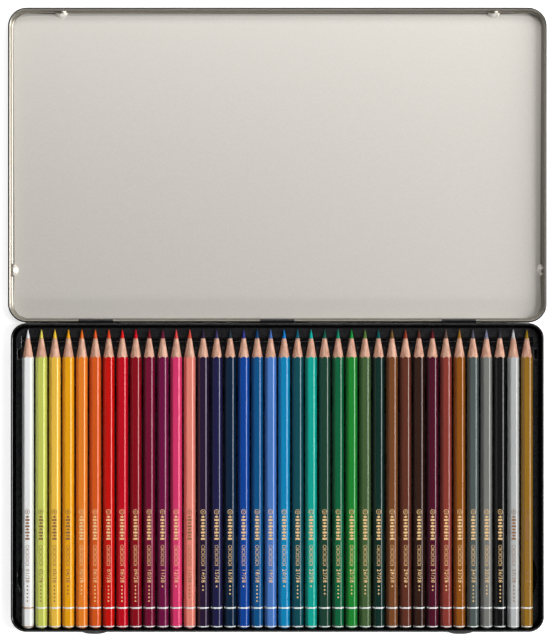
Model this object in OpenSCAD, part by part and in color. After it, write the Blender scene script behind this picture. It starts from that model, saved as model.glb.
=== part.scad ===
// Hinged sheet-metal tin with a formed tray of hexagonal coloured pencils.
// The lid is drawn folded right back, flat on the table behind the base.
// +X runs along the row of pencils, +Y to the hinge and the lid, +Z up.
// The origin is the middle of the base's underside.

/* [Pencils] */
// Length of a pencil
pencil_len = 174.9; // [150:0.1:200]
// Width of a pencil across its flats
flats = 6.2; // [5.8:0.05:6.6]
// Width of a pencil across its rounded corners
corners = 6.9; // [6.7:0.05:7.3]
// Diameter of the colour core
core_d = 2.4; // [2.2:0.1:3.8]
// Thickness of the glue between the core and its casing
glue = 0.02; // [0.01:0.01:0.05]
// Length of bare core at the point
core_bare = 5.3; // [4.5:0.1:6.5]
// Diameter of the blunt tip
tip_d = 0.5; // [0.2:0.05:0.8]
// Height of the dipped, domed end
dome_h = 1.6; // [0.8:0.1:2.2]
// Gap between two pencils in their grooves
pencil_gap = 0.98; // [0.6:0.02:1.6]

/* [Base] */
// Thickness of the sheet metal
sheet = 0.4; // [0.25:0.05:0.5]
// Corner radius of the base, seen from above
corner_r = 9; // [6:0.25:9.5]
// Outer bend radius where a floor meets its walls
bend_r = 1.4; // [0.8:0.1:2]
// Diameter of the base's rim, which is rolled inward
base_roll_d = 1.2; // [1.2:0.05:1.8]
// From the row of pencils to the outside of the base's side walls
side_margin = 6.25; // [5.5:0.05:9]
// From the pencils' tips to the outside of the rear wall
tip_margin = 3.7; // [3:0.05:6]
// From the pencils' domed ends to the base's rolled rim
end_gap = 0.3; // [0.3:0.05:2]
// From the top of the pencils to the top of the rim
rim_over = 0.85; // [0.1:0.05:3]

/* [Lid] */
// Gap between the base's wall and the lid's, all round
lid_gap = 0.35; // [0.35:0.05:0.8]
// Diameter of the lid's rim, which is rolled outward
lid_roll_d = 1.6; // [1.5:0.05:2.2]
// Radius of the round bulge of each pressed stop
stop_r = 4; // [3.5:0.1:5]
// How far a stop reaches down from the lid's ceiling
stop_drop = 2.9; // [2.4:0.1:3.4]
// From the lid's corners to the middle of a stop
stop_inset = 29; // [20:1:40]
// Gap between the shut lid's stops and the base's rim
stop_gap = 0.3; // [0.3:0.05:0.6]

/* [Hinge] */
// Width of a hinge tab
tab_w = 20; // [10:1:30]
// Distance between the middles of two tabs
tab_pitch = 106; // [60:1:120]
// Gap between a tab's end and the end of its slot
tab_side_gap = 0.6; // [0.3:0.1:1.5]
// Running clearance between the lid's rolled rim and a tab's curl
hinge_fit = 0.08; // [0.03:0.01:0.1]

/* [Front bumps] */
// Distance between the middles of the two thumb bumps on the front wall
bump_pitch = 214; // [120:1:250]
// Width of a thumb bump
bump_w = 17; // [10:0.5:24]
// Height of a thumb bump
bump_h = 4.4; // [3:0.1:5]
// How far a bump stands out of the wall
bump_out = 2; // [1:0.1:2.1]
// Gap between a bump and the shut lid's rolled rim
bump_gap = 0.4; // [0.3:0.1:1]

/* [Tray] */
// Thickness of the formed plastic sheet
tray_t = 0.5; // [0.3:0.05:0.6]
// Gap between the tray and the base's rolled rim
tray_gap = 0.4; // [0.3:0.05:0.8]
// From the floor of a recess up to the pencils' underside
groove_lift = 2.5; // [2:0.1:5]
// Depth of a groove
groove_depth = 1.8; // [1.2:0.1:2]
// Gap between a pencil and the sides of its groove
groove_gap = 0.15; // [0.1:0.05:0.2]
// How far the tray's outer wall leans in
tray_draft = 1.2; // [0.5:0.1:1.5]
// Length of the finger recess's floor, along the pencils
finger_len = 12.3; // [10:0.1:20]
// From the pencils' domed ends to the middle of the finger recess
finger_at = 30.3; // [24:0.1:36]
// How far the finger recess bulges past the row of pencils
finger_bulge = 2.4; // [1:0.1:2.6]
// Length of the middle recess's floor
middle_len = 10.8; // [6:0.1:16]
// From the pencils' domed ends to the middle of the middle recess
middle_at = 62; // [58:0.1:90]
// Length of the far recess's floor
far_len = 10.1; // [6:0.1:16]
// From the pencils' tips to the middle of the far recess
far_at = 41; // [32:0.1:50]
// From the pencils' tips to the foot of the trench under the points
trench_at = 7; // [6.6:0.1:8]

/* [Hidden] */
$fn = 96;
PENCILS = 38;

// The pencils' paint, from white to gold
PAINTS = ["#e4e5eb", "#bcc854", "#e6b941", "#e49b1e", "#e68228", "#d2551e",
          "#c8140f", "#be0f23", "#8c0c23", "#78193c", "#6e1446", "#d7376e",
          "#e1826e", "#321e3c", "#231c4b", "#162846", "#0f419b", "#00558c",
          "#4b73be", "#0082b4", "#164b58", "#00a591", "#234432", "#006441",
          "#238c32", "#466437", "#0a322d", "#784b28", "#6e3728", "#3a201c",
          "#50122d", "#8a3830", "#965514", "#4e5c5c", "#807f7d", "#0a0f19",
          "#b9bbbe", "#a07623"];

// Overshoot of a cut past the face it opens, and overlap of two solids that join
cut = 1;
lap = 1;

// The row of pencils and the base round it
pitch = corners + pencil_gap;
first_x = -(PENCILS - 1) / 2 * pitch;
row_w = (PENCILS - 1) * pitch + corners;
base_w = row_w + 2 * side_margin;
base_d = base_roll_d + end_gap + pencil_len + tip_margin;
pencil_back = -base_d / 2 + base_roll_d + end_gap;
pencil_tip = pencil_back + pencil_len;

// Heights, from the table up
floor_z = sheet + tray_t;
pencil_z = floor_z + groove_lift;
deck_z = pencil_z + groove_depth;
pencil_axis = pencil_z + flats / 2;
base_h = pencil_z + flats + rim_over;
tin_h = base_h + stop_gap + stop_drop + sheet;

// The hinge line: the lid's rolled rim, held in the base's curled tabs
roll_r = lid_roll_d / 2;
hinge_y = base_d / 2 + lid_gap + roll_r;
hinge_z = tin_h / 2;
curl_r = roll_r + hinge_fit + sheet;
slot_clear = 0.3;
slot_h = curl_r + slot_clear;
slot_w = tab_w + 2 * tab_side_gap;
tab_x = [-tab_pitch, 0, tab_pitch];

// Where a curl ends: the open part of a tab's, and the slit between a rolled rim's edge and
// its wall, with the slit's height as a share of the roll's radius
tab_open = 0.6;
slit_w = 0.25;
slit_share = 0.8;

// Inside faces of the lid's walls, and the pressed stops
lid_in_w = base_w + 2 * lid_gap;
lid_in_d = base_d + 2 * lid_gap;
lid_in_r = corner_r + lid_gap;
stop_z = base_h + stop_gap + stop_r;
dent_r = stop_r - sheet;

base_roll_r = base_roll_d / 2;
bump_z = hinge_z - roll_r - bump_gap - bump_h / 2;

// Outline of a pencil's point and of its dome
cone_slope = (core_d - tip_d) / 2 / core_bare;
cone_len = (corners - tip_d) / 2 / cone_slope;
dome_r = (pow(corners / 2, 2) + pow(dome_h, 2)) / (2 * dome_h);

// The tray's footprint, and the ends of its cross recesses
tray_w = base_w - 2 * base_roll_d - 2 * tray_gap;
tray_d = base_d - 2 * base_roll_d - 2 * tray_gap;
tray_r = corner_r - base_roll_d - tray_gap;
row_clear = 0.3;
row_half = row_w / 2 + row_clear;
margin_mid = (row_half + tray_w / 2 - tray_draft) / 2;

// Cross recesses and the trench under the points, front to back: the middle and the length
// of each floor, then how far its front and its back slope run. The grooves stop short of
// the trench's middle.
trench_len = 0.4;
groove_short = 1.1;
finger_y = pencil_back + finger_at;
middle_y = pencil_back + middle_at;
far_y = pencil_tip - far_at;
trench_y = pencil_tip - trench_at;
recesses = [[finger_y, finger_len, 2.5, 3.5],
            [middle_y, middle_len, 4, 2.5],
            [far_y, far_len, 3.5, 3.8],
            [trench_y, trench_len, 3.4, 2.5]];

// The finger recess's round ends, an arc over a chord a little longer than its floor,
// each cut from just inside the row's edge
finger_over = 3.8;
finger_edge = row_half - row_clear / 2;
finger_half = finger_len / 2 + finger_over;
finger_r = (pow(finger_half, 2) + pow(finger_bulge, 2)) / (2 * finger_bulge);

// The shelf under the pencils' domed ends, and the small pocket in each side margin
shelf_len = 1.3;
shelf_run = 1.2;
pocket_w = 1.6;
pocket_d = 6;
pocket_at = 14.5;
pocket_y = pencil_tip - pocket_at;

function two(i) = i < 10 ? str("0", i) : str(i);
function pencil_name(i) = str("pencil_", two(i));
function lean(run, rise) = sqrt(1 + pow(run / rise, 2));

// ---- Shared shapes ----

// A 2-D profile carried round a rounded rectangle: x is outward from the outline, y is up.
module around(w, d, r) {
  for (turn = [0 : 3]) {
    across = turn % 2 == 0;
    a = (across ? w : d) / 2 - r;
    b = (across ? d : w) / 2 - r;
    rotate([0, 0, turn * 90]) {
      translate([a, b, 0])
        rotate_extrude(angle = 90)
          intersection() {
            translate([r, 0])
              children();
            translate([0, -cut])
              square([3 * r, 2 * tin_h]);
          }
      translate([a, b, 0])
        rotate([90, 0, 0])
          linear_extrude(height = 2 * b)
            translate([r, 0])
              children();
    }
  }
}

// A flat plate with rounded corners, standing on z.
module plate(w, d, r, z, h) {
  translate([0, 0, z])
    linear_extrude(height = h)
      rounded(w, d, r);
}

module rounded(w, d, r) {
  square([w - 2 * r, d], center = true);
  square([w, d - 2 * r], center = true);
  for (x = [-1, 1], y = [-1, 1])
    translate([x * (w / 2 - r), y * (d / 2 - r)])
      circle(r);
}

// A wall's foot, bent up out of the floor, with the strip of floor that its plate overlaps:
// the outer face is at x = 0.
module bend() {
  translate([-bend_r - lap, 0])
    square([lap, sheet]);
  translate([-bend_r, bend_r])
    intersection() {
      difference() {
        circle(bend_r);
        circle(bend_r - sheet);
      }
      translate([0, -bend_r])
        square(bend_r);
    }
}

// A ring of sheet with its middle at the origin.
module ring(r) {
  difference() {
    circle(r);
    circle(r - sheet);
  }
}

// ---- Base ----

module base_profile() {
  bend();
  translate([-sheet, bend_r])
    square([sheet, base_h - base_roll_r - bend_r]);
  translate([-base_roll_r, base_h - base_roll_r])
    difference() {
      ring(base_roll_r);
      translate([base_roll_r - sheet - slit_w, -base_roll_r])
        square([slit_w, base_roll_r * slit_share]);
    }
}

module hinge_tab(x) {
  translate([x - tab_w / 2, hinge_y, hinge_z])
    rotate([90, 0, 90])
      linear_extrude(height = tab_w)
        difference() {
          union() {
            circle(curl_r);
            translate([-hinge_y + base_d / 2 - sheet / 2, curl_r - sheet])
              square([hinge_y - base_d / 2 + sheet / 2, sheet]);
          }
          circle(curl_r - sheet);
          translate([-curl_r, -curl_r])
            square([roll_r, tab_open]);
        }
}

// A shallow bump with round ends, as far back as its wall: the outer face is at y = 0.
module bump_form(w, h, back) {
  across_r = (pow(h / 2, 2) + pow(bump_out, 2)) / (2 * bump_out);
  along_r = (pow(w / 2, 2) + pow(bump_out, 2)) / (2 * bump_out);
  intersection() {
    translate([-w / 2, across_r - bump_out, 0])
      rotate([0, 90, 0])
        cylinder(r = across_r, h = w);
    translate([0, along_r - bump_out, -h / 2])
      cylinder(r = along_r, h = h);
    translate([-w / 2, -bump_out, -h / 2])
      cube([w, bump_out + back, h]);
  }
}

module at_bumps() {
  for (side = [-1, 1])
    translate([side * bump_pitch / 2, -base_d / 2, bump_z])
      children();
}

module base_pan() {
  color("#141416")
    difference() {
      union() {
        around(base_w, base_d, corner_r)
          base_profile();
        plate(base_w - 2 * bend_r, base_d - 2 * bend_r, corner_r - bend_r, 0, sheet);
        for (x = tab_x)
          hinge_tab(x);
        at_bumps()
          bump_form(bump_w, bump_h, sheet / 2);
      }
      at_bumps()
        translate([0, sheet, 0])
          bump_form(bump_w - 4 * sheet, bump_h - sheet, cut);
    }
}

// ---- Lid, drawn shut and then folded back ----

module lid_profile() {
  translate([sheet, 0])
    mirror([0, 1])
      translate([0, -tin_h])
        bend();
  translate([0, hinge_z])
    square([sheet, tin_h - hinge_z - bend_r]);
}

module lid_roll() {
  translate([roll_r, hinge_z])
    difference() {
      ring(roll_r);
      translate([sheet - roll_r, roll_r * (1 - slit_share)])
        square([slit_w, roll_r]);
    }
}

module at_stops() {
  for (x = [-1, 1]) {
    translate([x * (lid_in_w / 2 - stop_inset), -lid_in_d / 2, stop_z])
      children();
    translate([x * lid_in_w / 2, lid_in_d / 2 - stop_inset, stop_z])
      children();
  }
}

module lid_shut() {
  difference() {
    union() {
      difference() {
        around(lid_in_w, lid_in_d, lid_in_r)
          lid_profile();
        for (x = tab_x)
          translate([x - slot_w / 2, lid_in_d / 2 - cut, hinge_z])
            cube([slot_w, sheet + 2 * cut, slot_h]);
      }
      around(lid_in_w, lid_in_d, lid_in_r)
        lid_roll();
      plate(lid_in_w + 2 * sheet - 2 * bend_r, lid_in_d + 2 * sheet - 2 * bend_r,
            lid_in_r + sheet - bend_r, tin_h - sheet, sheet);
      intersection() {
        at_stops()
          sphere(stop_r);
        plate(lid_in_w + sheet, lid_in_d + sheet, lid_in_r, hinge_z, tin_h - hinge_z - sheet / 2);
      }
    }
    at_stops()
      sphere(dent_r);
  }
}

module lid() {
  color("#cdcac4")
    translate([0, hinge_y, hinge_z])
      rotate([180, 0, 0])
        translate([0, -hinge_y, -hinge_z])
          lid_shut();
}

// ---- Tray: a form at its true size less the same form one sheet smaller ----

module tray_block(o) {
  top = deck_z - o;
  low = o > 0 ? sheet - cut : sheet;
  run = tray_draft * (top - low) / (deck_z - sheet);
  foot = tray_draft * (low - sheet) / (deck_z - sheet) + o * lean(tray_draft, deck_z - sheet);
  w = tray_w - 2 * foot;
  d = tray_d - 2 * foot;
  r = tray_r - foot;
  around(w, d, r)
    polygon([[-r, low], [0, low], [-run, top], [-r, top]]);
  plate(w - 2 * r + 2 * lap, d - 2 * r + 2 * lap, lap, low, top - low);
}

// A trough across the row: its floor's middle and length, the run of each slope,
// the floor's height, and o, which makes it lower and wider for the tray's underside.
module trough(mid, len, run_f, run_b, bottom, o) {
  rise = deck_z - floor_z;
  top = deck_z + cut;
  lean_f = run_f / rise;
  lean_b = run_b / rise;
  front = mid - len / 2 - o * lean(run_f, rise);
  back = mid + len / 2 + o * lean(run_b, rise);
  translate([-row_half - o, 0, 0])
    rotate([90, 0, 90])
      linear_extrude(height = 2 * (row_half + o))
        polygon([[front + lean_f * o, bottom - o],
                 [back - lean_b * o, bottom - o],
                 [back + lean_b * (top - bottom), top],
                 [front - lean_f * (top - bottom), top]]);
}

// One pencil's groove: a flat bottom and sides that follow the pencil's lower flats.
module groove(x, o) {
  side = tan(30);
  half = flats / 2 * side + groove_gap + o / cos(30);
  top = deck_z + cut;
  back = trench_y - groove_short + o;
  front = -tray_d / 2 - cut;
  translate([x, back, 0])
    rotate([90, 0, 0])
      linear_extrude(height = back - front)
        polygon([[-half + side * o, pencil_z - o],
                 [half - side * o, pencil_z - o],
                 [half + side * (top - pencil_z), top],
                 [-half - side * (top - pencil_z), top]]);
}

// The finger recess's round end, past the row of pencils on one side.
module finger_end(side, o) {
  intersection() {
    translate([side * (row_half + finger_bulge - finger_r), finger_y, floor_z - o])
      cylinder(r = finger_r + o, h = deck_z);
    translate([side > 0 ? finger_edge : -finger_edge - finger_half, finger_y - 2 * finger_half, 0])
      cube([finger_half, 4 * finger_half, 2 * deck_z]);
  }
}

// The level shelf under the pencils' ends, where the ridges stop.
module front_shelf(o) {
  reach = tray_d;
  trough(pencil_back + shelf_len - reach / 2, reach, shelf_run, shelf_run, pencil_z, o);
}

module tray_form(o) {
  difference() {
    tray_block(o);
    for (i = [0 : PENCILS - 1])
      groove(first_x + i * pitch, o);
    for (r = recesses)
      trough(r[0], r[1], r[2], r[3], floor_z, o);
    front_shelf(o);
    for (side = [-1, 1]) {
      finger_end(side, o);
      translate([side * margin_mid - pocket_w / 2 - o, pocket_y - pocket_d / 2 - o, floor_z - o])
        cube([pocket_w + 2 * o, pocket_d + 2 * o, deck_z]);
    }
  }
}

module tray() {
  color("#1c1c1e")
    difference() {
      tray_form(0);
      tray_form(tray_t);
    }
}

// ---- Pencils ----

module pencil_bar(r) {
  rotate([-90, 0, 0])
    cylinder(r = r, h = pencil_len);
}

// The turned outline that the sharpener and the dip leave, along +Y.
module pencil_turned() {
  rotate([-90, 0, 0])
    rotate_extrude()
      intersection() {
        polygon([[0, 0],
                 [corners / 2, 0],
                 [corners / 2, pencil_len - cone_len],
                 [tip_d / 2, pencil_len],
                 [0, pencil_len]]);
        union() {
          translate([0, dome_r])
            circle(dome_r);
          translate([0, dome_r])
            square([corners, pencil_len]);
        }
      }
}

module casing() {
  difference() {
    intersection() {
      pencil_turned();
      rotate([-90, 0, 0])
        linear_extrude(height = pencil_len)
          circle(d = flats / cos(30), $fn = 6);
    }
    translate([0, -cut, 0])
      rotate([-90, 0, 0])
        cylinder(r = core_d / 2 + glue, h = pencil_len + 2 * cut);
  }
}

module core() {
  intersection() {
    pencil_turned();
    pencil_bar(core_d / 2);
  }
}

module pencil(i) {
  translate([first_x + (i - 1) * pitch, pencil_back, pencil_axis])
    color(PAINTS[i - 1]) {
      casing();
      core();
    }
}

base_pan();
lid();
tray();
for (i = [1 : PENCILS])
  pencil(i);
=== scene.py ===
# %% [markdown]
# # A hinged tin of coloured pencils
# The tin itself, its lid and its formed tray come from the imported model. This script gives them
# their finishes, models each pencil anew with its paint, bare wood, colour core, painted bands
# and foil stamping, and sets up a pale floor, soft light and a camera looking straight down.
# Everything is in metres, in the model's own frame: +X along the row, +Y to the lid, +Z up.

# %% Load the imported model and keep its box
import math

import bmesh
import bpy
from mathutils import Matrix, Vector


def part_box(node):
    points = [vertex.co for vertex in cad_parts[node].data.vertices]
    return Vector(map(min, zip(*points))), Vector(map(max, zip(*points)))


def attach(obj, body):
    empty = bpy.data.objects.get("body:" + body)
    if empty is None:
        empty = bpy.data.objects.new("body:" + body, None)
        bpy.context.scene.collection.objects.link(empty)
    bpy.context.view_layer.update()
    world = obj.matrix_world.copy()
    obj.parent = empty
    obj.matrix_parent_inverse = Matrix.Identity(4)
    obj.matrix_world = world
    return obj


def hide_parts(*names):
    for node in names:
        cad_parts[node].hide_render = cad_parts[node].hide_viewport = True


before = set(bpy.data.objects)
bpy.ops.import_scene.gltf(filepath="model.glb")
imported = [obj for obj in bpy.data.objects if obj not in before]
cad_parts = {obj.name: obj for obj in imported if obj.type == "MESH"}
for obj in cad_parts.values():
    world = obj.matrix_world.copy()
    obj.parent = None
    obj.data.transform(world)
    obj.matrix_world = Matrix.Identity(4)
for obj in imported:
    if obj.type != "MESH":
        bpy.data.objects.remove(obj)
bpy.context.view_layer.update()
MM = 0.001

# %% [markdown]
# ## Camera
# The tin is seen from straight above, from about a metre and a half, through a long lens, so that
# high and low parts keep almost the same scale. The focal length could be found by trying. Here
# it is worked out from the depth of table that has to fit in the frame's height.

# %% Camera straight above
CAMERA_AT = Vector((-0.0005, 0.09185, 1.45))
SEEN_HEIGHT = 0.374
SEEN_AT = 0.00675
SENSOR = 36.0

camera_data = bpy.data.cameras.new("camera")
camera_data.sensor_width = SENSOR
camera_data.lens = SENSOR * (CAMERA_AT.z - SEEN_AT) / SEEN_HEIGHT
camera = bpy.data.objects.new("camera", camera_data)
camera.location = CAMERA_AT
bpy.context.scene.collection.objects.link(camera)
bpy.context.scene.camera = camera
print("lens in mm:", round(camera_data.lens, 1))

# %% [markdown]
# ## Working on one piece at a time
# Blender's operators act on whatever is selected, so small helpers make one piece the only
# selected one and pick its faces or edges by a test on their place or direction.

# %% Helpers for selecting
def only(piece):
    bpy.ops.object.select_all(action="DESELECT")
    piece.select_set(True)
    bpy.context.view_layer.objects.active = piece


def edit(piece, kind="FACE"):
    only(piece)
    bpy.ops.object.mode_set(mode="EDIT")
    bpy.ops.mesh.select_mode(type=kind)
    bpy.ops.mesh.select_all(action="DESELECT")


def done():
    bpy.ops.object.mode_set(mode="OBJECT")


def pick(piece, test, kind="FACE"):
    """Selects the faces or edges of the piece in edit mode that pass the test."""
    mesh = bmesh.from_edit_mesh(piece.data)
    bpy.ops.mesh.select_all(action="DESELECT")
    for part in mesh.faces if kind == "FACE" else mesh.edges:
        if test(part):
            part.select_set(True)
    bmesh.update_edit_mesh(piece.data, loop_triangles=False, destructive=False)


def apply_modifiers(piece):
    only(piece)
    for modifier in list(piece.modifiers):
        bpy.ops.object.modifier_apply(modifier=modifier.name)


# %% [markdown]
# ## Materials
# A material is a Principled shader with a few texture nodes before it. Each node is one line when
# helpers add it, set its values and link it, and the numbers of a finish then stand together.

# %% Helpers for node trees
def add(tree, kind, settings=None, values=None):
    """A node with its settings and the values of its unlinked sockets."""
    node = tree.nodes.new(kind)
    for key, value in (settings or {}).items():
        setattr(node, key, value)
    for key, value in (values or {}).items():
        node.inputs[key].default_value = value
    return node


def add_math(tree, operation, *terms, clamp=False):
    """A math node's output. Each term is a number or the output of another node."""
    node = add(tree, "ShaderNodeMath", {"operation": operation, "use_clamp": clamp})
    for socket, term in zip(node.inputs, terms):
        if isinstance(term, float):
            socket.default_value = term
        else:
            tree.links.new(term, socket)
    return node.outputs[0]


def new_material(name, values=None):
    """A material, its tree and its Principled shader with these values."""
    material = bpy.data.materials.new(name)
    material.use_nodes = True
    shader = material.node_tree.nodes["Principled BSDF"]
    for key, value in (values or {}).items():
        shader.inputs[key].default_value = value
    return material, material.node_tree, shader


# %% Colours as they look on a screen
def linear(colour, share=1):
    """A hex colour as the linear values that a shader takes, made darker or lighter by a share."""
    parts = [int(colour[i : i + 2], 16) / 255 for i in (1, 3, 5)]
    values = [v / 12.92 if v < 0.04045 else ((v + 0.055) / 1.055) ** 2.4 for v in parts]
    return tuple(v * share for v in values) + (1,)


# %% [markdown]
# ### Speckle, shared by all finishes
# No real surface is even: lacquer has grain, wood has streaks and foil has pinholes. All of these
# are noise at their own size, so the noise is a node group, built once and placed in each
# material with its own numbers. It reads Object coordinates, so the grain stays on a piece that
# moves.

# %% The shared speckle group
FLOAT, VECTOR = "NodeSocketFloat", "NodeSocketVector"

speckle = bpy.data.node_groups.new("speckle", "ShaderNodeTree")
for label, kind, value in (
    ("Scale", FLOAT, 1000),
    ("Stretch", VECTOR, (1, 1, 1)),
    ("Low", FLOAT, 0),
    ("High", FLOAT, 1),
):
    socket = speckle.interface.new_socket(label, in_out="INPUT", socket_type=kind)
    socket.default_value = value
speckle.interface.new_socket("Value", in_out="OUTPUT", socket_type=FLOAT)

start = speckle.nodes.new("NodeGroupInput")
end = speckle.nodes.new("NodeGroupOutput")
place = add(speckle, "ShaderNodeTexCoord")
stretch = add(speckle, "ShaderNodeMapping")
noise = add(speckle, "ShaderNodeTexNoise", values={"Detail": 3.0, "Roughness": 0.6})
spread = add(speckle, "ShaderNodeMapRange", values={"From Min": 0.3, "From Max": 0.7})
for source, target in (
    (place.outputs["Object"], stretch.inputs["Vector"]),
    (start.outputs["Stretch"], stretch.inputs["Scale"]),
    (stretch.outputs["Vector"], noise.inputs["Vector"]),
    (start.outputs["Scale"], noise.inputs["Scale"]),
    (noise.outputs["Fac"], spread.inputs["Value"]),
    (start.outputs["Low"], spread.inputs["To Min"]),
    (start.outputs["High"], spread.inputs["To Max"]),
    (spread.outputs["Result"], end.inputs["Value"]),
):
    speckle.links.new(source, target)
print("groups:", [g.name for g in bpy.data.node_groups])

# %% Speckle, bump and a mix of two colours in a material
def add_speckle(tree, scale, stretch=(1, 1, 1), low=0.0, high=1.0):
    """Noise from low to high. The scale is in specks per metre, less along a stretched axis."""
    values = {"Scale": scale, "Stretch": stretch, "Low": low, "High": high}
    return add(tree, "ShaderNodeGroup", {"node_tree": speckle}, values).outputs["Value"]


def add_bump(tree, height, shader, strength, distance):
    bump = add(tree, "ShaderNodeBump", values={"Strength": strength, "Distance": distance})
    tree.links.new(height, bump.inputs["Height"])
    tree.links.new(bump.outputs["Normal"], shader.inputs["Normal"])


def colours(sockets):
    """The colour sockets of a Mix node, which also has some for numbers and vectors."""
    return [socket for socket in sockets if socket.type == "RGBA"]


def add_mix(tree, factor, first, second, shader):
    """Two linear colours, mixed by the factor, as the shader's base colour."""
    mix = add(tree, "ShaderNodeMix", {"data_type": "RGBA"})
    tree.links.new(factor, mix.inputs["Factor"])
    for socket, colour in zip(colours(mix.inputs), (first, second)):
        socket.default_value = colour
    result = colours(mix.outputs)[0]
    tree.links.new(result, shader.inputs["Base Color"])
    return result


# %% [markdown]
# ### Black lacquer
# The tin is sprayed black and baked, which leaves a glossy coat with a very fine grain. A small
# bump breaks up the gloss a little. A stronger one would look like powder coating.

# %% Black stove lacquer of the tin
lacquer, tree, shader = new_material("stove_lacquer")
add_mix(tree, add_speckle(tree, 900), linear("#0c0c0e"), linear("#151517"), shader)
tree.links.new(add_speckle(tree, 350, low=0.16, high=0.22), shader.inputs["Roughness"])
add_bump(tree, add_speckle(tree, 1400), shader, strength=0.05, distance=0.02 * MM)
print("made", lacquer.name)

# %% [markdown]
# ### Bare tinplate
# Inside, the lid is bare tinplate under a clear varnish. It is warm grey and satin: part metal
# and part diffuse, because a pure metal would only mirror the dark room above it. The drawn wall
# and the rolled rim have a second, darker tinplate, which is painted shade for the dim light they
# catch.

# %% Bare tinplate inside the lid
def new_tinplate(name, dark, light, values):
    metal, tree, shader = new_material(name, values)
    grain = add_speckle(tree, 1700)
    add_mix(tree, grain, linear(dark), linear(light), shader)
    add_bump(tree, grain, shader, strength=0.08, distance=0.02 * MM)
    return metal


tinplate = new_tinplate(
    "satin_tinplate", "#e6e1d8", "#efebe4", {"Metallic": 0.6, "Roughness": 0.45}
)
# The darker tinplate of the drawn wall and rolled rim is painted shade.
shaded_rim_tinplate = new_tinplate(
    "shaded_rim_tinplate", "#8f8a80", "#a39e94", {"Metallic": 0.8, "Roughness": 0.36}
)
print("made", tinplate.name, shaded_rim_tinplate.name)

# %% [markdown]
# ### Formed plastic
# The tray is a thin black plastic sheet, drawn hot over a mould. It is slightly wavy and its
# gloss varies from place to place, so both its bump and its roughness have slow noise.

# %% Formed black plastic of the tray
plastic, tree, shader = new_material("formed_plastic")
add_mix(tree, add_speckle(tree, 700), linear("#1c1c1e"), linear("#28282a"), shader)
tree.links.new(add_speckle(tree, 250, low=0.22, high=0.34), shader.inputs["Roughness"])
add_bump(tree, add_speckle(tree, 500), shader, strength=0.1, distance=0.05 * MM)
print("made", plastic.name)

# %% [markdown]
# ## Dressing the imported sheet-metal parts
# The base pan, the lid and the tray keep their imported shapes. The lid is one sheet with two
# finishes: lacquered black outside and bare inside, where the drawn wall and its rolled rim are
# painted darker than the flat, as painted shade. So its faces get one of three material slots, by
# place and direction.

# %% Finishes of the base, the tray and the lid
def dress(node, *materials):
    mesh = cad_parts[node].data
    mesh.materials.clear()
    for material in materials:
        mesh.materials.append(material)
    return mesh


BARE, LACQUERED, DRAWN_SHADED = 0, 1, 2
dress("base_pan", lacquer)
dress("tray", plastic)
lid_mesh = dress("lid", tinplate, lacquer, shaded_rim_tinplate)
print("lid slots:", [material.name for material in lid_mesh.materials])

# %% How far out a place on the lid lies
LID_ROLL_D = 1.6 * MM
CORNER = 9.35 * MM

lid_low, lid_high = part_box("lid")
lid_middle = (lid_low + lid_high) / 2
wall_x = (lid_high.x - lid_low.x) / 2 - LID_ROLL_D
wall_y = (lid_high.y - lid_low.y) / 2 - LID_ROLL_D
print("lid walls in mm from its middle:", round(wall_x / MM, 2), round(wall_y / MM, 2))


def outward(place):
    """The level way from the lid's middle out through its nearest wall, and how far past it."""
    away = Vector((place.x - lid_middle.x, place.y - lid_middle.y, 0))
    inner = Vector((wall_x - CORNER, wall_y - CORNER, 0))
    past = Vector([math.copysign(max(abs(a) - b, 0), a) for a, b in zip(away, inner)])
    return past.normalized(), past.length - CORNER


# %% A finish for each face of the lid
LID_ROLL_Z = 7.025 * MM
ROLL_FOOT = LID_ROLL_Z - LID_ROLL_D / 2 - 0.1 * MM
WALL_MIDDLE = 0.2 * MM
WALL_FOOT = 1.2 * MM
POINTS_OUT = 0.3
ROLL_POINTS_OUT = 0.02

# Faces of the drawn wall and rolled rim inside take the darker tinplate: painted shade.
for face in lid_mesh.polygons:
    way, past = outward(face.center)
    out = face.normal.dot(way)
    if face.center.z < ROLL_FOOT:
        outside = face.normal.z < -POINTS_OUT or (past > WALL_MIDDLE and out > POINTS_OUT)
    else:
        outside = out > ROLL_POINTS_OUT and past > LID_ROLL_D / 2
    if outside:
        face.material_index = LACQUERED
    else:
        face.material_index = DRAWN_SHADED if past > -WALL_FOOT else BARE
counts = [sum(f.material_index == i for f in lid_mesh.polygons) for i in (BARE, LACQUERED, DRAWN_SHADED)]
print("lid faces by finish:", counts)

# %% [markdown]
# ### Soft folds for the tray
# A formed sheet has no sharp folds. The tray's faces come as loose triangles, so they are joined
# up again first, and a bevel then rounds the folds and leaves the grooves where they are.
# Clamping is off, because the shortest edge of the mesh would hold every fold down to almost
# nothing.

# %% Rounded folds for the formed tray
FOLD_WIDTH = 0.3 * MM
FOLD_ANGLE = 25
WELD_REACH = 0.01 * MM

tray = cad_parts["tray"]
weld = tray.modifiers.new("weld", "WELD")
weld.merge_threshold = WELD_REACH
fold = tray.modifiers.new("fold", "BEVEL")
fold.width, fold.segments = FOLD_WIDTH, 2
fold.limit_method, fold.angle_limit = "ANGLE", math.radians(FOLD_ANGLE)
fold.use_clamp_overlap = False
print("tray modifiers:", [m.type for m in tray.modifiers])

# %% [markdown]
# ## The pencil, modelled once
# A pencil is a hexagonal cedar slat that was rounded at its corners, painted, dipped at its end
# and sharpened at its point. That is how it is made here: a hexagonal bar is cut to the shape of
# a turned blank by a Boolean, so the scalloped edge of the paint comes by itself where the cone
# meets the flats. The finished mesh is then copied into each groove.

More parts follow.
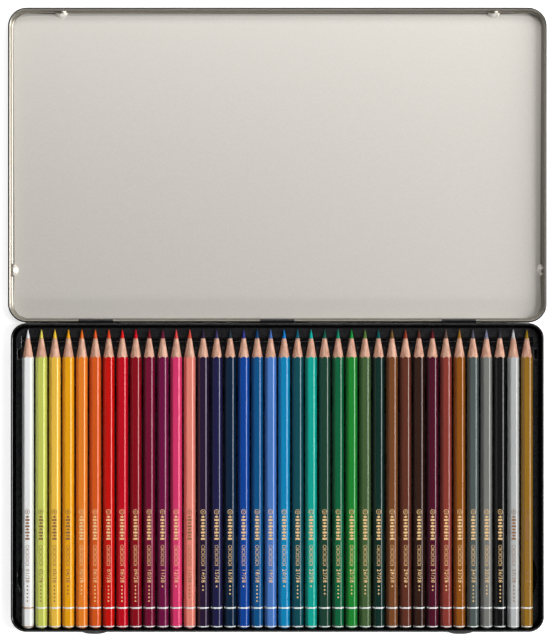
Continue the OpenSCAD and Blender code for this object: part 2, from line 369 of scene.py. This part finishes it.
# %% Sizes of a pencil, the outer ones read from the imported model
low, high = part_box("pencil_01")
LENGTH = high.y - low.y
BACK = low.y
AXIS = Vector(((low.x + high.x) / 2, BACK, (low.z + high.z) / 2))
FLATS = high.z - low.z
CORNERS = high.x - low.x
CORE_R = 1.2 * MM
TIP_R = 0.25 * MM
CORE_BARE = 5.3 * MM
DOME_H = 1.6 * MM
SLOPE = (CORE_R - TIP_R) / CORE_BARE
print("pencil in mm:", [round(v / MM, 2) for v in (LENGTH, FLATS, CORNERS)])

# %% [markdown]
# ### Cedar and bands
# First come the finishes of the master pencil's casing. Its paint slot is only a place holder,
# and each copy gets its own colour there later. Cedar is pinkish brown with fine dark streaks
# along the pencil, so its noise is stretched along Y: broad streaks, with finer ones added.

# %% Cedar of the sharpened cone
cedar, tree, shader = new_material("cedar", {"Roughness": 0.62, "Specular IOR Level": 0.3})
streaks = add_speckle(tree, 900, stretch=(1, 0.07, 1))
fine = add_speckle(tree, 2600, stretch=(1, 0.12, 1), low=-0.25, high=0.25)
grain = add_math(tree, "ADD", streaks, fine, clamp=True)
add_mix(tree, grain, linear("#b38069"), linear("#e4b79f"), shader)
add_bump(tree, grain, shader, strength=0.25, distance=0.05 * MM)
print("made", cedar.name)

# %% The two colours of the painted bands, and the place holder
def new_band(name, dark, light):
    band, tree, shader = new_material(name, {"Roughness": 0.3})
    add_mix(tree, add_speckle(tree, 1500), linear(dark), linear(light), shader)
    return band


band_white = new_band("band_white", "#e0e5e6", "#eef1f1")
band_tan = new_band("band_tan", "#b08a66", "#c09a76")
paint_holder = bpy.data.materials.new("paint_holder")
PAINT_SLOT, CEDAR_SLOT, BAND_SLOT = 0, 1, 2
print("made", band_white.name, band_tan.name)

# %% [markdown]
# ### The hexagonal bar
# A cylinder with six sides is a hexagonal bar. Its flats have the model's size, but its corners
# would stick out too far, so they are rounded. The radius that brings them in to the model's
# width follows from both sizes. The bar is longer than the pencil, and the blank cuts it to
# length.

# %% A hexagonal bar with its flats up and rounded corners
def new_bar(name, sides, radius, start, length, turn=0.0):
    """A cylinder primitive that lies along +Y from start, its place put into its mesh."""
    bpy.ops.object.select_all(action="DESELECT")
    bpy.ops.mesh.primitive_cylinder_add(
        vertices=sides,
        radius=radius,
        depth=length,
        location=start + Vector((0, length / 2, 0)),
        rotation=(math.pi / 2, turn, 0),
    )
    piece = bpy.context.object
    piece.name = piece.data.name = name
    bpy.ops.object.transform_apply(location=True, rotation=True, scale=True)
    return piece


SPARE = 2 * MM
HALF_SIDE = math.pi / 6
sharp_corners = FLATS / math.cos(HALF_SIDE)
FILLET = (sharp_corners - CORNERS) / 2 / (1 / math.cos(HALF_SIDE) - 1)

bar = new_bar(
    "casing", 6, sharp_corners / 2, AXIS - Vector((0, SPARE, 0)), LENGTH + 2 * SPARE, HALF_SIDE
)
edit(bar, "EDGE")
pick(bar, lambda edge: abs((edge.verts[0].co - edge.verts[1].co).y) > LENGTH, "EDGE")
bpy.ops.mesh.bevel(
    offset=FILLET * math.tan(HALF_SIDE), segments=8, profile=0.5, affect="EDGES"
)
done()
print("bar in mm:", [round(v / MM, 2) for v in bar.dimensions], "fillet:", round(FILLET / MM, 2))

# %% [markdown]
# ### The turned blank
# The blank is everything that a lathe would leave: a domed end, a straight barrel just wider than
# the corners, a short flare where the sharpener runs out of the thick paint, and the wood's cone
# with a hole for the core. It could be a spun profile. Extruding and scaling the ends of a
# cylinder gives the same rings and needs no seam to be closed.

# %% A helper that grows an end, ring by ring
BLANK_SIDES = 72
BLANK_R = CORNERS / 2 + 0.03 * MM
FACES_END = 0.99


def grow_end(piece, way, steps):
    """Extrudes the end that faces way (+1 or -1 along Y), one (distance, radius) at a time."""
    edit(piece)
    pick(piece, lambda face: face.normal.y * way > FACES_END)
    radius = BLANK_R
    for distance, wanted in steps:
        bpy.ops.mesh.extrude_region_move(
            TRANSFORM_OT_translate={"value": (0, way * distance, 0)}
        )
        bpy.ops.transform.resize(value=(wanted / radius, 1, wanted / radius), center_override=AXIS)
        radius = wanted
    done()


# %% The blank: a dome, a barrel, a flare, a cone and a hole
DOME_RINGS = 6
DOME_TIP_R = 0.15 * MM
DOME_SPACING = 1.6
FLARE = 0.8 * MM
HOLE = 3 * MM
cone_foot = LENGTH - (FLATS / 2 - TIP_R) / SLOPE
shoulder = cone_foot - FLARE
wood_len = LENGTH - CORE_BARE - cone_foot
dome_r = (BLANK_R**2 + DOME_H**2) / (2 * DOME_H)

blank = new_bar(
    "blank", BLANK_SIDES, BLANK_R, AXIS + Vector((0, DOME_H, 0)), shoulder - DOME_H
)
dome_steps = []
before = DOME_H
for ring in range(1, DOME_RINGS + 1):
    depth = DOME_H * (1 - ring / DOME_RINGS) ** DOME_SPACING
    radius = max(math.sqrt(dome_r**2 - (dome_r - depth) ** 2), DOME_TIP_R)
    dome_steps.append((before - depth, radius))
    before = depth
grow_end(blank, -1, dome_steps)
grow_end(blank, 1, [(FLARE, FLATS / 2), (wood_len, CORE_R), (-HOLE, CORE_R)])
print("blank in mm:", [round(v / MM, 2) for v in blank.dimensions])

# %% [markdown]
# ### Sharpening
# A Boolean keeps what the bar and the blank share. Each face keeps the material slot that it had
# on the bar or the blank, so the blank's flare and cone are given cedar first, and what they cut
# is bare wood.

# %% The casing: the bar cut to the blank, wood where the cone cut it
for piece in (bar, blank):
    for material in (paint_holder, cedar, band_white):
        piece.data.materials.append(material)
for face in blank.data.polygons:
    face.material_index = CEDAR_SLOT if face.center.y > AXIS.y + shoulder else PAINT_SLOT
cutter = bar.modifiers.new("sharpen", "BOOLEAN")
cutter.operation, cutter.solver, cutter.object = "INTERSECT", "EXACT", blank
apply_modifiers(bar)
bpy.data.objects.remove(blank)
wood = sum(f.material_index == CEDAR_SLOT for f in bar.data.polygons)
print("casing:", len(bar.data.polygons), "faces,", wood, "of wood")

# %% [markdown]
# ### Painted bands
# Two thin rings of white go round each pencil, one at the edge of its domed end and one a little
# further up. On the white pencil they are tan. They are paint, far too thin to stand out, so
# planes cut their edges into the casing, and the faces between two edges get the band's slot. The
# places are in millimetres from the domed end.

# %% Two painted bands, cut in with planes
BANDS = ((1.2, 1.85), (12.0, 12.85))

edit(bar)
for band in BANDS:
    for edge in band:
        bpy.ops.mesh.select_all(action="SELECT")
        bpy.ops.mesh.bisect(plane_co=AXIS + Vector((0, edge * MM, 0)), plane_no=(0, 1, 0))
done()
for face in bar.data.polygons:
    y = (face.center.y - AXIS.y) / MM
    if any(first < y < last for first, last in BANDS):
        face.material_index = BAND_SLOT
print("band faces:", sum(f.material_index == BAND_SLOT for f in bar.data.polygons))

# %% [markdown]
# ### Shading that keeps the flats flat
# Smooth shading alone would bend the light across the wide flats. Weighted normals let the large
# faces win, so the flats stay flat and only the fillets turn. The edge between paint and wood is
# marked sharp, because the paint ends there.

# %% Normals of the casing
SMOOTH_ANGLE = 24

only(bar)
bpy.ops.object.shade_smooth_by_angle(angle=math.radians(SMOOTH_ANGLE))
casing_mesh = bar.data
slots_at = {}
for face in casing_mesh.polygons:
    for key in face.edge_keys:
        slots_at.setdefault(key, set()).add(face.material_index)
for edge in casing_mesh.edges:
    if slots_at[tuple(sorted(edge.vertices))] >= {PAINT_SLOT, CEDAR_SLOT}:
        edge.use_edge_sharp = True
weight = bar.modifiers.new("flat_flats", "WEIGHTED_NORMAL")
weight.keep_sharp = True
apply_modifiers(bar)
print("casing:", len(casing_mesh.polygons), "faces")

# %% [markdown]
# ### The colour core
# The core is a rod of wax and pigment that sits in the wood, carries on its cone and ends in a
# blunt tip. It grows from a short cylinder by extruding and scaling its end. Each step of its
# cone is a share of the bare length, and what the radius shrinks to over it.

# %% The colour core: its seat in the wood, its cone and its blunt tip
SEAT = 0.01 * MM
CORE_SIDES = 32
CORE_STEPS = ((0.5, 0.577), (0.485, 0.3), (0.015, 0.6))
CORE_SMOOTH_ANGLE = 40

seat_start = LENGTH - CORE_BARE - HOLE + SEAT
core = new_bar("core", CORE_SIDES, CORE_R - SEAT, AXIS + Vector((0, seat_start, 0)), HOLE - SEAT)
edit(core)
pick(core, lambda face: face.normal.y > FACES_END)
for share, scale in CORE_STEPS:
    bpy.ops.mesh.extrude_region_move(TRANSFORM_OT_translate={"value": (0, CORE_BARE * share, 0)})
    bpy.ops.transform.resize(value=(scale, 1, scale), center_override=AXIS)
done()
only(core)
bpy.ops.object.shade_smooth_by_angle(angle=math.radians(CORE_SMOOTH_ANGLE))
print("core:", len(core.data.polygons), "faces")

# %% [markdown]
# ## The stamping
# Each pencil carries a stamping of foil on its top flat. Here it is a plain ornament of the
# script's own - a ring with a star, a row of bold lozenges and bars, a fine chain - followed by
# the pencil's number in the row and a few round dots. Flat primitives are placed along the pencil
# and joined. All places are in millimetres from the domed end.

# %% Flat shapes for the stamping
made_shapes = []


def foil_place(along):
    """The point on the top flat that lies this many mm from the domed end."""
    return Vector((AXIS.x, BACK + along * MM, AXIS.z + FLATS / 2))


def add_disc(along, radius, sides, across=1.0, line=None):
    """A flat disc or lozenge, open in its middle when it is drawn as a line this wide."""
    bpy.ops.object.select_all(action="DESELECT")
    bpy.ops.mesh.primitive_circle_add(
        vertices=sides, radius=radius, fill_type="NGON", location=foil_place(along)
    )
    shape = bpy.context.object
    shape.scale = (1, across, 1)
    bpy.ops.object.transform_apply(location=True, rotation=True, scale=True)
    if line:
        edit(shape)
        bpy.ops.mesh.select_all(action="SELECT")
        bpy.ops.mesh.inset(thickness=line)
        bpy.ops.mesh.delete(type="FACE")
        done()
    made_shapes.append(shape)


def add_bar(along, length, half):
    """A flat bar across the pencil."""
    bpy.ops.object.select_all(action="DESELECT")
    bpy.ops.mesh.primitive_plane_add(size=1, location=foil_place(along))
    shape = bpy.context.object
    shape.scale = (2 * half, length, 1)
    bpy.ops.object.transform_apply(location=True, rotation=True, scale=True)
    made_shapes.append(shape)


def join_shapes(name):
    """The shapes made so far as one piece."""
    bpy.ops.object.select_all(action="DESELECT")
    for shape in made_shapes:
        shape.select_set(True)
    bpy.context.view_layer.objects.active = made_shapes[0]
    bpy.ops.object.join()
    piece = bpy.context.object
    piece.name = piece.data.name = name
    made_shapes.clear()
    return piece


# %% The part of the stamping that every pencil shares
FOIL_HALF = 1.25 * MM
EMBLEM_AT = 68.5
ROW_AT, ROW_STEP, ROW_COUNT = 65.6, 1.83, 8
CHAIN_AT, CHAIN_STEP, CHAIN_COUNT = 48.1, 3.1, 4

add_disc(EMBLEM_AT, 1.45 * MM, 24, line=0.28 * MM)
add_disc(EMBLEM_AT, 0.85 * MM, 4, across=0.4)
add_disc(EMBLEM_AT, 0.34 * MM, 4, across=2.5)
for step in range(ROW_COUNT):
    along = ROW_AT - step * ROW_STEP
    if step % 2 == 0:
        add_disc(along, FOIL_HALF, 4, across=0.6)
    else:
        add_bar(along, 1.15 * MM, FOIL_HALF)
for step in range(CHAIN_COUNT):
    along = CHAIN_AT - step * CHAIN_STEP
    add_disc(along, 1.05 * MM, 16, line=0.22 * MM)
    add_bar(along - CHAIN_STEP / 2, 0.26 * MM, FOIL_HALF * 0.85)
stamp = join_shapes("stamp")
print("stamp:", len(stamp.data.polygons), "faces")

# %% [markdown]
# ### Laying the foil on
# The stamp is a little wider than the flat, so its edges fold over the rounded corners. The
# shapes are cut where the rounding starts and once more beyond, and their vertices are then
# lowered onto the fillet's circle.

# %% Draping the stamping over the rounded corners
FLAT_HALF = (FLATS / 2 - FILLET) * math.tan(HALF_SIDE)
SECOND_CUT = 0.4 * MM


def drape(piece):
    """Cuts the flat shapes where the rounded corners start and lays them onto these."""
    edit(piece)
    for side in (-1, 1):
        for cut in (FLAT_HALF, FLAT_HALF + SECOND_CUT):
            bpy.ops.mesh.select_all(action="SELECT")
            bpy.ops.mesh.bisect(plane_co=AXIS + Vector((side * cut, 0, 0)), plane_no=(1, 0, 0))
    done()
    for vertex in piece.data.vertices:
        past = max(abs(vertex.co.x - AXIS.x) - FLAT_HALF, 0)
        vertex.co.z -= FILLET - math.sqrt(FILLET**2 - past**2)


# %% [markdown]
# ### Foil
# Stamping foil is a matt metallic film. On a dark paint it is gold. On pale paints gold would
# hardly show, so those pencils carry a bronze one. Most of its colour is diffuse here, because
# the film scatters light, and a small bump makes its surface a little crumbly.

# %% Foil in two tones
def new_foil(name, dark, light):
    foil, tree, shader = new_material(name, {"Metallic": 0.1, "Roughness": 0.4})
    add_mix(tree, add_speckle(tree, 2400), linear(dark), linear(light), shader)
    add_bump(tree, add_speckle(tree, 5000), shader, strength=0.2, distance=0.01 * MM)
    return foil


gold_foil = new_foil("gold_foil", "#f0be7c", "#ffdca4")
bronze_foil = new_foil("bronze_foil", "#84593a", "#a2784c")
print("made", gold_foil.name, bronze_foil.name)

# %% [markdown]
# ## The whole row
# A pencil is known by its paint, the colour of its core and the number of dots that rate how well
# it keeps its colour in the light. The paints have plain names from white to gold, and a paint's
# name is also that of its material slot.

# %% The palette: slot, paint, core and dots
PALETTE = (
    ("white", "#eeefef", "#eeeef2", 5), ("lime", "#c7ce5d", "#ebdc5f", 5),
    ("yellow", "#efbf45", "#ffd237", 5), ("golden_yellow", "#efa60d", "#f2a900", 3),
    ("orange", "#eb8123", "#f07319", 3), ("vermilion", "#d85818", "#e65a1e", 5),
    ("scarlet", "#cc0d03", "#e64a1e", 5), ("carmine", "#c4031b", "#eb1414", 5),
    ("dark_carmine", "#8d0317", "#e10023", 5), ("plum", "#760730", "#78141e", 5),
    ("magenta", "#6f0a41", "#6e1432", 1), ("pink", "#d9366c", "#e14646", 1),
    ("salmon", "#e98474", "#d7503f", 4), ("dark_violet", "#281434", "#322341", 2),
    ("indigo", "#1d1b48", "#3c3764", 1), ("navy", "#03223d", "#233241", 3),
    ("royal_blue", "#03429b", "#30388a", 1), ("petrol", "#035288", "#004173", 5),
    ("periwinkle", "#4a7ac2", "#466eb4", 0), ("cerulean", "#0387bb", "#007dcd", 1),
    ("dark_teal", "#034b55", "#005f74", 4), ("turquoise", "#03a695", "#00b0a4", 1),
    ("dark_green", "#194131", "#0a5c48", 3), ("green", "#03633c", "#008c6e", 4),
    ("bright_green", "#18872f", "#0a963c", 3), ("olive", "#445f35", "#5a7d37", 3),
    ("bottle_green", "#032d24", "#005a5a", 3), ("brown", "#774622", "#7c5c28", 1),
    ("sienna", "#632f1f", "#a03a24", 1), ("dark_brown", "#32170c", "#64301f", 2),
    ("burgundy", "#4e0323", "#6a121e", 2), ("brick", "#8c372d", "#6a504c", 2),
    ("ochre", "#905003", "#a07020", 2), ("slate", "#4f5a58", "#585868", 5),
    ("grey", "#7a7a76", "#8084a0", 3), ("black", "#030303", "#34343e", 5),
    ("silver", "#b8baba", "#d0d2d6", 5), ("gold", "#966c17", "#a58214", 5),
)
BRONZE_STAMPED = ("white", "lime", "yellow", "golden_yellow", "salmon", "silver", "gold")
print("paints:", len(PALETTE))

# %% [markdown]
# ### Paint and core
# A pencil is painted many times over and then varnished, so its gloss is a clear coat over a matt
# paint. The noise along the pencil shows how the thickness of the paint varies. A core is matt
# and mottled wax. It is darker in a thin line at its foot, where it meets the wood.

# %% The paint of one pencil
def new_paint(name, colour):
    paint, tree, shader = new_material(
        "paint_" + name, {"Coat Weight": 1.0, "Coat Roughness": 0.28, "Specular IOR Level": 0.05}
    )
    depth = add_speckle(tree, 500, stretch=(1, 0.05, 1))
    add_mix(tree, depth, linear(colour, 0.93), linear(colour, 1.05), shader)
    waves = add_speckle(tree, 450, stretch=(1, 0.3, 1))
    add_bump(tree, waves, shader, strength=0.04, distance=0.03 * MM)
    return paint


# %% The core of one pencil
FOOT_LINE = 0.45 * MM
FOOT_SHADE = 0.55
core_foot = BACK + LENGTH - CORE_BARE


def new_core(name, colour):
    wax, tree, shader = new_material("core_" + name, {"Specular IOR Level": 0.12})
    mottle = add_speckle(tree, 1800, stretch=(1, 0.5, 1))
    body = add_mix(tree, mottle, linear(colour, 0.72), linear(colour, 0.95), shader)
    place = add(tree, "ShaderNodeTexCoord")
    split = add(tree, "ShaderNodeSeparateXYZ")
    foot = add(tree, "ShaderNodeMapRange", values={
        "From Min": core_foot, "From Max": core_foot + FOOT_LINE, "To Min": FOOT_SHADE,
    })
    shade = add(
        tree, "ShaderNodeMix", {"data_type": "RGBA", "blend_type": "MULTIPLY"}, {"Factor": 1.0}
    )
    first, second = colours(shade.inputs)
    tree.links.new(place.outputs["Object"], split.inputs[0])
    tree.links.new(split.outputs["Y"], foot.inputs["Value"])
    tree.links.new(body, first)
    tree.links.new(foot.outputs["Result"], second)
    tree.links.new(colours(shade.outputs)[0], shader.inputs["Base Color"])
    tree.links.new(add_speckle(tree, 900, low=0.38, high=0.55), shader.inputs["Roughness"])
    add_bump(tree, mottle, shader, strength=0.3, distance=0.04 * MM)
    return wax


# %% [markdown]
# ### What differs from pencil to pencil
# The number is each pencil's own, and the dots are one to five or none. The number starts as a
# text object, turned to be read along the pencil, and is made a mesh before its place is put into
# it.

# %% The pencil's number
NUMBER_AT = 31.2


def number_stamp(number):
    """The pencil's number, read along the pencil, as flat faces."""
    bpy.ops.object.select_all(action="DESELECT")
    bpy.ops.object.text_add(location=foil_place(NUMBER_AT), rotation=(0, 0, -math.pi / 2))
    text = bpy.context.object.data
    text.body = f"{number:02d}/{len(PALETTE)}"
    text.align_x = text.align_y = "CENTER"
    text.size, text.space_character, text.offset = 3.1 * MM, 1.15, 0.02 * MM
    text.resolution_u = 2
    bpy.ops.object.convert(target="MESH")
    bpy.ops.object.transform_apply(location=True, rotation=True, scale=True)
    made_shapes.append(bpy.context.object)


# %% A copy with a mesh of its own
def own_copy(piece, name, shift):
    """A copy of the piece with its own mesh, moved along the row."""
    copy = piece.copy()
    copy.data = piece.data.copy()
    copy.name = copy.data.name = name
    copy.data.transform(Matrix.Translation((shift, 0, 0)))
    bpy.context.scene.collection.objects.link(copy)
    return copy


# %% [markdown]
# ### One stamping
# A stamping is the shared part, the number and the dots, joined and draped over the first
# pencil's flat and then moved along the row. Foil on its bed of lacquer stands a fiftieth of a
# millimetre proud, so a Solidify modifier gives the flat faces that thickness.

# %% The whole stamping of one pencil
DOT_AT, DOT_STEP, DOT_R, DOT_SIDES = 25.1, 2.16, 0.5 * MM, 10
FOIL_THICK = 0.02 * MM


def new_stamping(number, dots, shift, foil_material):
    made_shapes.append(own_copy(stamp, "stamp_copy", 0))
    number_stamp(number)
    for dot in range(dots):
        add_disc(DOT_AT - dot * DOT_STEP, DOT_R, DOT_SIDES)
    foil = join_shapes(f"stamping_{number:02d}")
    drape(foil)
    foil.data.transform(Matrix.Translation((shift, 0, 0)))
    foil.data.materials.clear()
    foil.data.materials.append(foil_material)
    thick = foil.modifiers.new("thickness", "SOLIDIFY")
    thick.thickness, thick.offset = FOIL_THICK, 1.0
    apply_modifiers(foil)
    return foil


# %% [markdown]
# ### Filling the grooves
# Each pencil is three pieces: the casing, the core and the stamping. All three ride on the node
# of their pencil and move with it, and the casing and the core take the place of its packed
# solids.

# %% All the pencils
for number, (name, paint_colour, core_colour, dots) in enumerate(PALETTE, 1):
    node = f"pencil_{number:02d}"
    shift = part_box(node)[0].x - low.x
    casing = own_copy(bar, f"casing_{number:02d}", shift)
    casing.data.materials[PAINT_SLOT] = new_paint(name, paint_colour)
    if name == "white":
        casing.data.materials[BAND_SLOT] = band_tan
    point = own_copy(core, f"core_{number:02d}", shift)
    point.data.materials.append(new_core(name, core_colour))
    foil_material = bronze_foil if name in BRONZE_STAMPED else gold_foil
    foil = new_stamping(number, dots, shift, foil_material)
    for piece in (casing, point, foil):
        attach(piece, node)
    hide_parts(node)
    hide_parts(node)
for master in (bar, core, stamp):
    bpy.data.objects.remove(master)
print("pencils:", len(PALETTE), "with", len(foil.data.polygons), "faces of foil on the last")

# %% [markdown]
# ## The floor
# The floor is a white table. Its lit surface is already pale, and for the camera and for
# reflections a little light of its own brings it up to white, while the object's shadow stays.
# The strip of table in the gap between the lid and the base lies deep in their shade, so it is
# left out of that glow.

# %% The table and its finish
TABLE_SIZE = 12
TABLE_WHITE = 0.86

bpy.ops.object.select_all(action="DESELECT")
bpy.ops.mesh.primitive_plane_add(size=TABLE_SIZE, location=(0, 0, -0.05 * MM))
floor = bpy.context.object
floor.name = "floor"
bpy.ops.object.transform_apply(location=True, rotation=True, scale=True)
table, tree, shader = new_material("white_table", {"Roughness": 0.9, "Specular IOR Level": 0.1})
shader.inputs["Base Color"].default_value = (TABLE_WHITE, TABLE_WHITE, TABLE_WHITE, 1)
shader.inputs["Emission Color"].default_value = (1, 1, 1, 1)
floor.data.materials.append(table)
print("made", floor.name, "with", table.name)

# %% The table's glow, for the camera and reflections alone
GLOW = 0.66
GAP_HALF_WIDTH = 0.148
GAP_Y, GAP_HALF_DEPTH = 0.0915, 0.004

path = add(tree, "ShaderNodeLightPath").outputs
seen = add_math(tree, "MAXIMUM", path["Is Camera Ray"], path["Is Glossy Ray"])
seen = add_math(tree, "MAXIMUM", seen, path["Is Transmission Ray"])
spot = add(tree, "ShaderNodeTexCoord")
split = add(tree, "ShaderNodeSeparateXYZ")
tree.links.new(spot.outputs["Object"], split.inputs[0])
in_width = add_math(tree, "COMPARE", split.outputs["X"], 0.0, GAP_HALF_WIDTH)
in_depth = add_math(tree, "COMPARE", split.outputs["Y"], GAP_Y, GAP_HALF_DEPTH)
outside_gap = add_math(tree, "SUBTRACT", 1.0, add_math(tree, "MULTIPLY", in_width, in_depth))
glow = add_math(tree, "MULTIPLY", add_math(tree, "MULTIPLY", seen, GLOW), outside_gap)
tree.links.new(glow, shader.inputs["Emission Strength"])
print("table finish:", len(tree.nodes), "nodes")

# %% [markdown]
# ## Light
# The light is soft. A large panel on the right, thirty degrees above the table, makes the right
# side of each pencil its brightest, and a wide and weak one on the left fills in. Slim ones
# beyond the lid, low and high, and one in front draw thin lines along the rolled rims and the
# folds.

# %% The panels of light: name, place, aim, width, height and watts
PANELS = (
    ("right_panel", (4.9, 0.05, 2.7), (0, 0.05, 0), 1.5, 7.2, 440),
    ("left_panel", (-2.63, 0.05, 1.23), (0, 0.05, 0), 2.4, 4.0, 6),
    ("far_panel", (0, 0.62, 0.45), (0, 0.2, 0), 1.2, 0.16, 1.5),
    ("high_panel", (0, 0.7, 1.2), (0, 0.1, 0), 1.2, 0.06, 2.4),
    ("front_panel", (0, -1.1, 0.8), (0, 0, 0), 1.4, 0.2, 4),
)

for name, place, aim, width, height, power in PANELS:
    data = bpy.data.lights.new(name, "AREA")
    data.shape, data.size, data.size_y, data.energy = "RECTANGLE", width, height, power
    panel = bpy.data.objects.new(name, data)
    panel.location = place
    panel.rotation_mode = "QUATERNION"
    panel.rotation_quaternion = (Vector(aim) - Vector(place)).to_track_quat("-Z", "Y")
    bpy.context.scene.collection.objects.link(panel)

# %% [markdown]
# ## The space round the table
# The room is pale round the horizon and dark above. The pale part fills the shadows from all
# sides, and the dark part is what the flats and the black lacquer mirror, so they keep their
# depth.

# %% A room that is dark above
PALE_UP_TO, DARK_FROM = 0.2, 0.5
PALE = 0.5

world = bpy.data.worlds.new("studio")
bpy.context.scene.world = world
world.use_nodes = True
tree = world.node_tree
background = tree.nodes["Background"]
background.inputs["Color"].default_value = (1, 1, 1, 1)
sky = add(tree, "ShaderNodeTexCoord")
split = add(tree, "ShaderNodeSeparateXYZ")
fade = add(tree, "ShaderNodeMapRange", values={
    "From Min": PALE_UP_TO, "From Max": DARK_FROM, "To Min": PALE, "To Max": 0.0,
})
tree.links.new(sky.outputs["Generated"], split.inputs[0])
tree.links.new(split.outputs["Z"], fade.inputs["Value"])
tree.links.new(fade.outputs["Result"], background.inputs["Strength"])
bpy.context.scene.view_settings.view_transform = "Standard"
print("world:", world.name)
